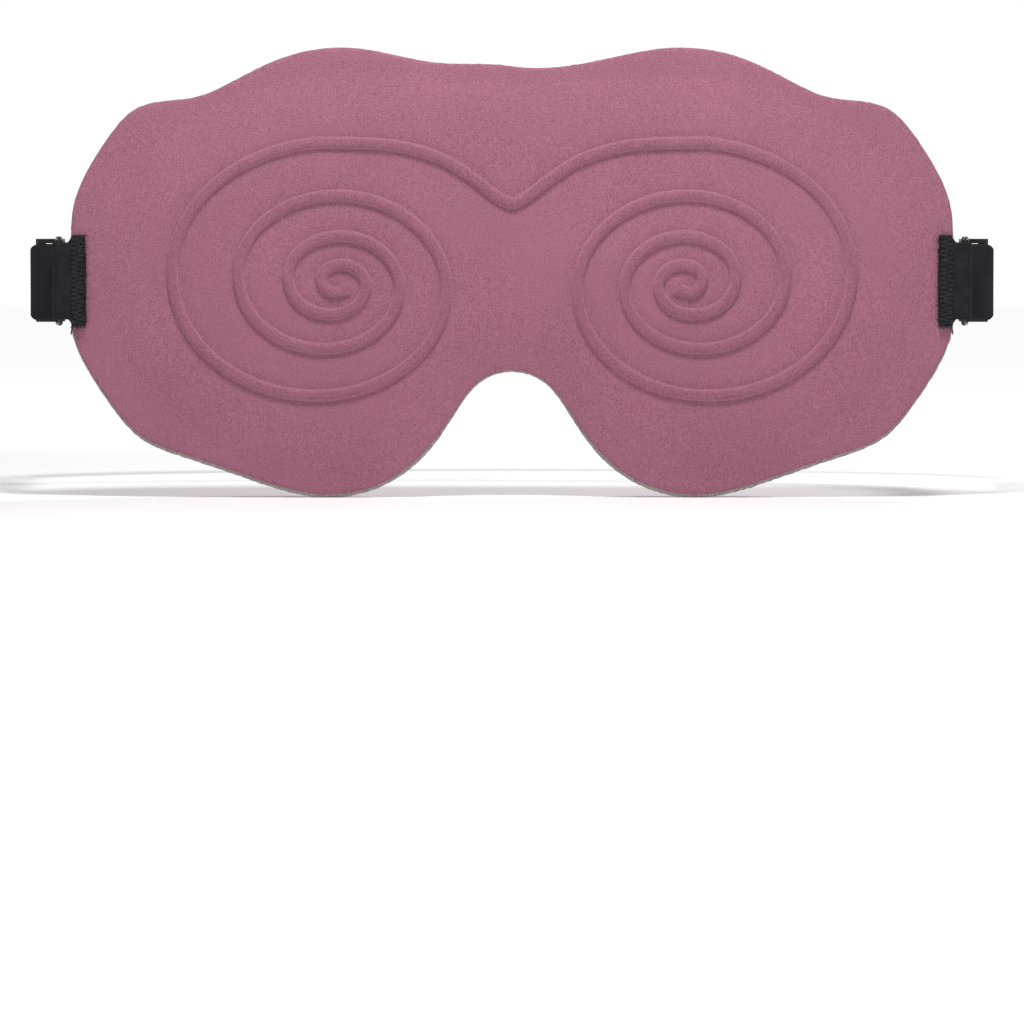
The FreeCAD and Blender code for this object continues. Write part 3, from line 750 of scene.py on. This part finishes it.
def make_foam():
    """The front foam, with a shallow pocket in its back for the blackout layer."""
    proud = foam_overhang()
    front_y = foam_face(panel)
    skin = Skin()
    rows = [skin.cover(inset(panel, 0.3), grid(inset(panel, 4), 6), foam_face)]
    for share, swell in FOAM_BULGE:
        y = front_y + (foam_back - front_y) * share
        rows.append(skin.ring(inset(panel, -proud * swell), y))
    pocket = [inset(panel, BLACKOUT_INSET + gap) for gap in (-0.06, 0.06)]
    ground = np.vstack([*pocket, grid(inset(panel, 8), 8)])
    rows.append(skin.cover(inset(panel, 0.3), ground, pocket_face))
    skin.bands(rows)
    made = skin.piece("front_foam_sheet", foam_paint)
    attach(made, "mask")
    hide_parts("front_foam")


def make_blackout():
    """The blackout layer, in the pocket at the foam's back."""
    loop = inset(panel, BLACKOUT_INSET + 0.1)
    slack = 0.03
    skin = Skin()
    faces = (foam_back - BLACKOUT_THICK + slack, foam_back - slack)
    skin.bands([skin.cover(loop, grid(inset(loop, 4), 8), y) for y in faces])
    made = skin.piece("blackout_sheet", blackout_paint)
    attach(made, "mask")
    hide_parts("blackout_layer")
    cloth = area(loop) * MM ** 2


class Swirl:
    """The terraces on a cavity's floor. Their feet are one spiral whose turns have the cavity's own
    outline, made smaller about the swirl's middle."""

    def __init__(self, eye, hand):
        self.middle = np.array(SWIRL_EYE) * (hand, 1)
        self.hand = hand
        x, z = ((eye - self.middle) * (hand, 1)).T
        order = np.argsort(np.arctan2(z, x))
        self.angles = np.arctan2(z, x)[order]
        self.reach = np.hypot(x, z)[order]

    def outline(self, angle):
        """How far the cavity reaches from the swirl's middle at an angle."""
        return np.interp(angle, self.angles, self.reach, period=FULL_TURN)

    def height(self, points):
        """How far the floor rises at each point."""
        x, z = ((points - self.middle) * (self.hand, 1)).T
        angle = np.arctan2(z, x)
        wound = np.hypot(x, z) / self.outline(angle)
        start = (-angle / FULL_TURN) % 1
        turns = (wound - SWIRL_START) / SWIRL_PITCH
        share = np.maximum(turns - start, -1) % 1
        slope = np.minimum(share, (1 - share) / SWIRL_STEP * (1 - SWIRL_STEP))
        fade = 1 - smoothstep(turns, SWIRL_TURNS - 0.9, SWIRL_TURNS)
        return SWIRL_RISE * slope * fade

    def feet(self, aside):
        """The spiral line at the terraces' feet, or aside of it by a share of the pitch."""
        turns = np.linspace(0.02, SWIRL_TURNS, 900)
        angle = -FULL_TURN * turns
        reach = (SWIRL_START + SWIRL_PITCH * (turns + aside)) * self.outline(angle)
        line = np.column_stack([reach * np.cos(angle), reach * np.sin(angle)]) * (self.hand, 1)
        return evenly(line + self.middle, 0.7, closed=False)


swirls = [Swirl(left_eye, 1), Swirl(right_eye, -1)]


def back_face(points):
    """Height along Y of the back fabric's face: the flange, and the terraces in the cavities."""
    off_pad = -depth_in(points, pad)
    height = flange_y - EDGE_PRESS * np.exp(-distance(points, panel))
    height = height - RIPPLE * smoothstep(off_pad, 1, 6) * (1 + ripple(points, 5))
    for eye, swirl in zip((left_eye, right_eye), swirls):
        height += np.where(inside(points, eye), swirl.height(points), 0)
    return height


def make_back_fabric():
    """The fabric on the face side: the flange round the pad, and the cavities' terraced floors."""
    rings = [inset(panel, d) for d in (0.3, 0.8, 1.6, 3.0)]
    asides = (-SWIRL_STEP, -SWIRL_STEP / 2, 0, 0.05)
    feet = [swirl.feet(aside) for swirl in swirls for aside in asides]
    floors = [grid(eye, 0.8) for eye in (left_eye, right_eye)]
    flange = [inset(pad, -gap) for gap in (0.3, 1.5)]
    ground = grid(inset(panel, 4), 3.2)
    for eye in (left_eye, right_eye):
        ground = ground[~inside(ground, eye)]
    points = thinned(np.vstack([*feet, *rings[1:], *flange, *floors, ground]), 0.28)
    points = points[inside(points, rings[0])]
    skin = Skin()
    skin.bands([
        skin.cover(rings[0], points, back_face),
        skin.ring(inset(panel, 0.06), flange_y - 0.42),
        skin.ring(panel, flange_y - 0.6),
        skin.ring(inset(panel, 0.05), foam_back),
        skin.cover(inset(panel, 0.4), grid(inset(panel, 5), 8), foam_back),
    ])
    made = skin.piece("back_fabric_sheet", face_cloth)
    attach(made, "mask")
    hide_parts("back_fabric")
    declare_panel_sheet()


def declare_panel_sheet():
    """Works out the area of the panel's outline, to which both fabrics are cut; the area is not
    used.
    """
    cloth = area(panel) * MM ** 2


# ---- the pad

def rounding(depth, width, power):
    """A wall that rises steeply and rounds over to 1 at a depth of width."""
    share = np.clip(1 - depth / width, 0, 1)
    return (1 - share ** power) ** (1 / power)


def pad_height(points, outline, cavities):
    """The pad's height at each point, as a share of its rise."""
    wall = PAD_WALL / PAD_RISE
    height = wall + (1 - wall) * rounding(distance(points, outline), *RIM_ROUNDING)
    for cavity in cavities:
        height *= rounding(distance(points, cavity), *CAVITY_ROUNDING)
    return height


def relaxed(height, triangles, free, passes):
    """The heights, each of the free ones drawn towards the middle of its neighbours'."""
    sides = np.vstack([triangles[:, ends] for ends in ([0, 1], [1, 2], [2, 0])])
    pairs = np.unique(np.sort(sides, axis=1), axis=0)
    count = np.zeros(len(height))
    np.add.at(count, pairs.ravel(), 1)
    for _ in range(passes):
        total = np.zeros(len(height))
        np.add.at(total, pairs[:, 0], height[pairs[:, 1]])
        np.add.at(total, pairs[:, 1], height[pairs[:, 0]])
        height = np.where(free, (height + total / count) / 2, height)
    return height


def pad_skin(skin, inward, step):
    """Adds the pad's surface, moved inwards, with points about step apart. Returns its rings on the
    base plane: the outline, then the cavities."""
    outline = inset(pad, inward)
    cavities = [inset(eye, -inward) for eye in (left_eye, right_eye)]
    rings = [inset(outline, d) for d in RIM_LINES]
    for cavity in cavities:
        rings += [inset(cavity, -d) for d in CAVITY_LINES]
    ground = grid(inset(outline, 4.0), step)
    for cavity in cavities:
        ground = ground[~inside(ground, inset(cavity, -4.0))]
    points = thinned(np.vstack([*rings, ground]), 0.04)
    flat, triangles, loops = filled([outline, *cavities], points)
    height = pad_height(flat, outline, cavities)
    depth = np.minimum.reduce([distance(flat, loop) for loop in (outline, *cavities)])
    height = relaxed(height, triangles, depth > 3.0, 14)
    swell = 1 + PAD_UNEVEN * ripple(flat, 8)
    top = skin.lid(flat, triangles, flange_y + height * (PAD_RISE - inward) * swell)
    rows = [[top[n] for n in loops[0]]]
    for tuck, share in ((0.1, 0.72), (0.45, 0.4), (0.95, 0.16), (TUCK, 0)):
        rows.append(skin.ring(inset(outline, tuck), flange_y - 0.05 + share * PAD_WALL))
    skin.bands(rows)
    return [rows[-1]] + [[top[n] for n in loop] for loop in loops[1:]]


def make_pad_cover():
    """The cover moulded over the pad: its outside, its inside, and its cut edges."""
    skin = Skin()
    outer_rings = pad_skin(skin, 0, 1.4)
    inner_rings = pad_skin(skin, COVER_THICK, 3.0)
    for one, two in zip(outer_rings, inner_rings):
        skin.band(one, two)
    made = skin.piece("pad_cover_sheet", face_cloth)
    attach(made, "mask")
    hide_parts("pad_cover")


def make_pad_foam():
    """The pad's foam, which fills its cover down to the back fabric."""
    skin = Skin()
    rings = pad_skin(skin, COVER_THICK + 0.02, 3.0)
    base = [np.array([(skin.points[n][0], skin.points[n][2]) for n in ring]) for ring in rings]
    flat, triangles, loops = filled(base, np.empty((0, 2)))
    under = skin.lid(flat, triangles, flange_y - 0.05)
    for ring, loop in zip(rings, loops):
        skin.band(ring, [under[n] for n in loop])
    made = skin.piece("pad_foam_form", foam_paint)
    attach(made, "mask")
    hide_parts("pad_foam")


outer = make_outer_fabric(outer_cloth)
declare_panel_sheet()
make_foam()
make_blackout()
make_back_fabric()
make_pad_foam()
make_pad_cover()


# ---- webbing, strap and threads

def unit(way):
    return way / np.linalg.norm(way)


def bent(corners, step=0.6):
    """A line in (x, y) through corners (x, y, radius), each rounded by an arc to both sides."""
    spots = [np.array(corner[:2], float) for corner in corners]
    line = [spots[0]]
    shares = np.linspace(0, 1, 9)
    for before, here, after, corner in zip(spots, spots[1:], spots[2:], corners[1:]):
        radius = corner[2]
        one, two = unit(before - here), unit(after - here)
        half = math.acos(np.clip(one @ two, -1, 1)) / 2
        middle = here + unit(one + two) * radius / math.sin(half)
        start, end = (here + way * radius / math.tan(half) - middle for way in (one, two))
        line += [middle + radius * unit(start * (1 - share) + end * share) for share in shares]
    return evenly(np.array(line + [spots[-1]]), step, closed=False)


def ribbed(half, thick, ribs, depth):
    """A ribbon's section as (share of its half height, offset in mm): ribs on both faces, and soft
    selvages."""
    count = 2 * ribs + 1
    heights = np.linspace(-1, 1, count) * (1 - 0.35 / half)
    offsets = thick / 2 - depth * (np.arange(count) % 2 == 0)
    face = list(zip(heights, offsets))
    back = [(height, -offset) for height, offset in reversed(face)]
    lip = thick * 0.22
    return face + [(1, lip), (1, -lip)] + back + [(-1, -lip), (-1, lip)]


def strip(name, line, reach, section, material, hand=1, fray=0.0, seed=0):
    """A ribbon on edge along a line in (x, y). Reach is how far it goes down and up at each point
    of the line, and fray is how uneven its two ends are."""
    run = np.gradient(line, axis=0)
    run /= np.hypot(*run.T)[:, None]
    along = np.concatenate([[0], np.cumsum(np.hypot(*np.diff(line, axis=0).T))])
    reach = np.broadcast_to(reach, (len(line), 2))
    draw = random.Random(seed)
    skin, rows = Skin(), []
    for number, ((x, y), (u, v), (low, high)) in enumerate(zip(line, run, reach)):
        loose = fray if number in (0, len(line) - 1) else 0
        row = []
        for height, offset in section:
            slip = draw.uniform(-loose, loose)
            z = (low + high) / 2 + (high - low) / 2 * height
            row.append((hand * (x + v * offset + u * slip), y - u * offset + v * slip, z))
        rows.append(skin.add(row))
    skin.bands(rows)
    skin.faces += [tuple(rows[0]), tuple(rows[-1])]
    made = skin.piece(name, material)
    place = made.data.attributes.new("run", "FLOAT", "POINT")
    place.data.foreach_set("value", np.repeat(along, len(section)) * MM)
    return made


def tube(skin, line, radius, sides=6):
    """Adds a round thread along a line of (x, y, z)."""
    line = np.asarray(line, float)
    run = np.gradient(line, axis=0)
    run /= np.linalg.norm(run, axis=1)[:, None]
    across = np.eye(3)[np.argmin(abs(run.mean(0)))]
    one = np.cross(run, across)
    one /= np.linalg.norm(one, axis=1)[:, None]
    two = np.cross(run, one)
    angles = np.arange(sides) * FULL_TURN / sides
    rows = []
    for place, u, v in zip(line, one, two):
        rows.append(skin.add(place + radius * (math.cos(a) * u + math.sin(a) * v) for a in angles))
    skin.bands(rows)
    skin.faces += [tuple(rows[0]), tuple(rows[-1])]


def strap_fold():
    """The left end of the strap, as corners (x, y, radius): from the start of its second layer
    round the ring and back beside the head."""
    way = np.array([-math.sin(STRAP_LEAN), math.cos(STRAP_LEAN)])
    side = np.array([-way[1], way[0]])
    back = np.array(FAR_BAR) - way * WRAP
    fold_in, fold_out = back - side * WRAP, back + side * WRAP

    def elbow(corner, x):
        """Where the leaning run from a corner meets the upright one at x."""
        return (x, corner[1] + (x - corner[0]) / way[0] * way[1], STRAP_ELBOW)

    return [
        (-INNER_X, TAIL_START, 0),
        elbow(fold_in, -INNER_X),
        (*fold_in, WRAP),
        (*fold_out, WRAP),
        elbow(fold_out, -STRAP_X),
        (-STRAP_X, LOOP_STRAIGHT, 0),
    ]


def make_strap(section):
    """The elastic from ring to ring. It sags and spreads a little in the rings, and its folds there
    have rounded outer corners."""
    left = bent(strap_fold(), 0.7)
    turn = np.linspace(math.pi, 0, 320)[1:-1]
    rear = np.column_stack([STRAP_X * np.cos(turn), LOOP_STRAIGHT + LOOP_DEPTH * np.sin(turn)])
    line = np.vstack([left, evenly(rear, 1.6, closed=False), left[::-1] * (-1, 1)])
    x, y = abs(line[:, 0]), line[:, 1]
    sag = STRAP_SAG * (1 - smoothstep(y, -8, 10))
    spread = STRAP_SPREAD * (1 - smoothstep(y, -12, -9))
    over = np.clip((x - STRAP_X) / STRAP_CORNER + 1, 0, 1)
    corner = 0.6 * STRAP_CORNER * (1 - np.sqrt(1 - over ** 2)) * (1 - smoothstep(y, 0, 30))
    half = STRAP_HALF + spread - corner
    reach = np.column_stack([-half - sag, half - sag])
    made = strip("strap_elastic_band", line, reach, section, elastic_paint)
    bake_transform(made)
    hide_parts("strap_band", "left_strap_end", "right_strap_end")


def make_tail(side, hand, section):
    """The strap's second layer, which lengthens and shortens as the slider moves."""
    corners = [
        (-INNER_X, TAIL_START, 0),
        (-INNER_X, TAIL_START + 5, 14),
        (-LAP_X, LAP_START - 5, 14),
        (-LAP_X, LAP_START, 0),
    ]
    reach = (-STRAP_HALF, STRAP_HALF)
    made = strip(f"{side}_strap_second_layer", bent(corners), reach, section, elastic_paint, hand)
    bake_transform(made)
    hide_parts(f"{side}_strap_tail")


def make_lap(side, hand, section):
    """The strap's end, from the tail round the slider's bar and back to its cut edge."""
    bar_x, bar_y = SLIDER_BAR
    near, far = bar_x + LAP_WRAP, bar_x - LAP_WRAP
    middle_y, flap_x = LAP_START + 6, LAP_X + STRAP_THICK + 0.05
    corners = [
        (-LAP_X, LAP_START, 0),
        (-LAP_X, middle_y, 6),
        (near, bar_y - 1.5, 1),
        (near, bar_y + LAP_WRAP, LAP_WRAP - 0.05),
        (far, bar_y + LAP_WRAP, LAP_WRAP - 0.05),
        (far, bar_y - 1.5, 1),
        (-flap_x, middle_y, 6),
        (-flap_x, LAP_START + 1.5, 0),
    ]
    line, reach = bent(corners, 0.5), (-STRAP_HALF, STRAP_HALF)
    made = strip(f"{side}_strap_sewn_end", line, reach, section, elastic_paint, hand)
    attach(made, f"{side}_adjuster")
    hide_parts(f"{side}_strap_lap")


def make_tab(side, hand, section):
    """The anchor tab round the ring. It widens where it is sewn to the panel."""
    line = bent(TAB_LINE, 0.35)
    sewn = smoothstep(-abs(line[:, 0]), -SEWN_EDGE - 1.3, -SEWN_EDGE)[:, None]
    reach = np.array(TAB_REACH) * (1 - sewn) + np.array(SEWN_REACH) * sewn
    name, seed = f"{side}_tab_webbing", 21 + hand
    made = strip(name, line, reach, section, webbing_paint, hand, TAB_FRAY, seed)
    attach(made, "mask")
    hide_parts(f"{side}_anchor_tab")


def arched(start, end, y, rise):
    """A stitch over a face at y, from one (x, z) to another: in at both ends and over the cloth."""
    shares = np.array([0, 0.15, 0.5, 0.85, 1])
    lift = np.array([-0.25, 0.6, 1, 0.6, -0.25]) * rise
    flat = np.outer(1 - shares, start) + np.outer(shares, end)
    return np.column_stack([flat[:, 0], y + lift, flat[:, 1]])


def zigzag_seam(skin, draw, y):
    """The zigzag seam up the tab's front leg."""
    low, high = SEWN_REACH
    heights = np.linspace(low + 0.5, high - 0.5, 39)
    ends = [TAB_END - 0.5, TAB_END - 3.7]
    for z, next_z in zip(heights, heights[1:]):
        start = (ends[0] + draw.uniform(-0.1, 0.1), z)
        end = (ends[1] + draw.uniform(-0.1, 0.1), next_z)
        tube(skin, arched(start, end, y, -0.2), 0.14)
        ends.reverse()


def stitch_bar(skin, draw, y):
    """The close bar of stitches up the tab's back leg."""
    low, high = SEWN_REACH
    for z in np.arange(low + 0.3, high - 0.2, 0.52):
        start = (TAB_END - 0.1 + draw.uniform(-0.15, 0.15), z)
        end = (TAB_END - 2.7 + draw.uniform(-0.15, 0.15), z + 0.3)
        tube(skin, arched(start, end, y, 0.45), 0.27)


def fluff_roots(draw):
    """Where each fibre starts, as (x, z), and which way it lies: all over the front leg, then along
    its cut end, then along its lower edge."""
    low, high = SEWN_REACH
    outer, lower_end = -117.3, -117.2
    roots = []
    for _ in range(420):
        place = (draw.uniform(outer, TAB_END), draw.uniform(low, high))
        roots.append((place, draw.uniform(0, FULL_TURN)))
    for _ in range(70):
        place = (TAB_END, draw.uniform(low, high))
        roots.append((place, draw.uniform(-0.9, 0.9)))
    for _ in range(34):
        place = (draw.uniform(lower_end, TAB_END), low)
        roots.append((place, draw.uniform(-2.2, -0.9)))
    return roots


def fluff(skin, draw, y):
    """Short fibres that stand out from the tab's front leg."""
    for (x, z), turn in fluff_roots(draw):
        bend, length, lift = draw.uniform(-0.9, 0.9), draw.uniform(0.4, 1.0), draw.uniform(0.1, 0.4)
        spots = [(x, y + 0.05, z)]
        for step in range(1, 4):
            angle = turn + bend * step / 3
            x, z = x + math.cos(angle) * length / 3, z + math.sin(angle) * length / 3
            spots.append((x, y - lift * math.sin(step * 0.8), z))
        tube(skin, spots, 0.07, 3)


def loose_strand(skin):
    """The seam's thread end, which hangs from the tab's lower edge."""
    y, top = TAB_FRONT - 0.2, SEWN_REACH[0] + 0.8
    spots = [(-116.9 - 0.12 * n, y, top - 0.8 * n + 0.1 * math.sin(2 * n)) for n in range(5)]
    tube(skin, spots, 0.2)


def make_tab_threads(side, hand):
    """A tab's seams and the fluff on it, made for the left side and mirrored for the right."""
    draw = random.Random(41 + hand)
    skin = Skin()
    front, back = TAB_FRONT - TAB_THICK / 2, TAB_BACK + TAB_THICK / 2
    zigzag_seam(skin, draw, front)
    stitch_bar(skin, draw, back)
    fluff(skin, draw, front)
    loose_strand(skin)
    skin.points = [(hand * x, y, z) for x, y, z in skin.points]
    made = skin.piece(f"{side}_tab_threads", thread_paint)
    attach(made, "mask")
    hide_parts(f"{side}_tab_stitch")


elastic_section = ribbed(STRAP_HALF, STRAP_THICK, RIBS, 0.05)
webbing_section = ribbed(STRAP_HALF, TAB_THICK, TAB_RIBS, 0.04)
make_strap(elastic_section)
hardware = (("ring", wire_paint), ("slider", plastic_paint), ("lap_stitch", thread_paint))
for side, hand in (("left", 1), ("right", -1)):
    make_tail(side, hand, elastic_section)
    make_lap(side, hand, elastic_section)
    make_tab(side, hand, webbing_section)
    make_tab_threads(side, hand)
    for node, paint in hardware:
        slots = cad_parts[f"{side}_{node}"].data.materials
        slots.clear()
        slots.append(paint)


# ---- stage, light and camera

# The camera, in metres: how wide the view is at the mask, the camera's distance, the height of the
# mask's middle, how far the camera is above that, and how far below it the camera aims.
VIEW_WIDTH = 0.273
VIEW_REACH = 1.4
VIEW_MIDDLE = 0.0025
VIEW_RISE = 0.003
AIM_DROP = 0.064
SENSOR = 36

# How far the floor is below the panel's CAD solid. The foam's cut edge rests on it.
FLOOR_GAP = 0.7

# Strengths as (from, to, strength there, strength there): the floor's glow by the distance from
# its middle, and the world's light by the height of its direction.
FLOOR_GLOW = (0.2, 0.7, 0.18, 0.75)
WORLD_LIGHT = (0.06, 0.14, 1.0, 0.23)


def lamp(name, place, target, side, power):
    """A square lamp that faces its target."""
    data = bpy.data.lights.new(name, "AREA")
    data.size = side
    data.energy = power
    made = bpy.data.objects.new(name, data)
    made.location = place
    made.rotation_euler = (Vector(target) - Vector(place)).to_track_quat("-Z", "Y").to_euler()
    bpy.context.scene.collection.objects.link(made)


def make_camera():
    """A long lens in front of the mask, just above its middle. It aims below the mask, so that the
    mask fills the view's upper half."""
    data = bpy.data.cameras.new("camera")
    camera = bpy.data.objects.new("camera", data)
    bpy.context.scene.collection.objects.link(camera)
    bpy.context.scene.camera = camera
    middle = Vector((0, outer_y * MM, VIEW_MIDDLE))
    place = middle + Vector((0, -math.sqrt(VIEW_REACH ** 2 - VIEW_RISE ** 2), VIEW_RISE))
    aim = middle - Vector((0, 0, AIM_DROP))
    data.sensor_width = SENSOR
    data.lens = SENSOR * (aim - place).length / VIEW_WIDTH
    camera.location = place
    camera.rotation_euler = (aim - place).to_track_quat("-Z", "Y").to_euler()


def eased(tree, value, from_low, from_high, at_low, at_high):
    """A smooth step from one strength to another as the value goes from low to high."""
    step = tree.nodes.new("ShaderNodeMapRange")
    step.interpolation_type = "SMOOTHSTEP"
    tree.links.new(value, step.inputs["Value"])
    limits = {"From Min": from_low, "From Max": from_high, "To Min": at_low, "To Max": at_high}
    for socket, limit in limits.items():
        step.inputs[socket].default_value = limit
    return step.outputs["Result"]


def make_stage():
    """A pale floor under the mask's lobes, which glows more further out."""
    place = (0, 0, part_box("outer_fabric")[0].z - FLOOR_GAP * MM)
    bpy.ops.mesh.primitive_circle_add(vertices=96, radius=6, fill_type="NGON", location=place)
    floor = bpy.context.object
    floor.name = "floor"
    paint = Paint("floor_paint")
    reach = paint.add("VectorMath", {"operation": "LENGTH"})
    paint.plug(reach.inputs[0], paint.place)
    glow = eased(paint.tree, reach.outputs["Value"], *FLOOR_GLOW)
    paint.set(Base_Color=(0.86, 0.86, 0.86, 1), Roughness=0.6)
    paint.set(Emission_Color=(1, 1, 1, 1), Emission_Strength=glow)
    floor.data.materials.append(paint.material)
    bpy.context.scene.view_settings.view_transform = "Standard"


def make_studio():
    """White round the horizon, dimmer above, and a key light on each side of the mask."""
    world = bpy.data.worlds.new("studio")
    world.use_nodes = True
    tree = world.node_tree
    way = tree.nodes.new("ShaderNodeTexCoord").outputs["Generated"]
    split = tree.nodes.new("ShaderNodeSeparateXYZ")
    tree.links.new(way, split.inputs[0])
    background = tree.nodes["Background"].inputs
    background["Color"].default_value = (1, 1, 1, 1)
    tree.links.new(eased(tree, split.outputs["Z"], *WORLD_LIGHT), background["Strength"])
    bpy.context.scene.world = world
    lamp("front_key", (0.01, -0.25, 0.5), (0, 0, 0.01), 0.14, 3.0)
    lamp("back_key", (0.3, 0.4, 0.5), (0, 0, 0), 0.15, 2.5)


make_camera()
make_stage()
make_studio()
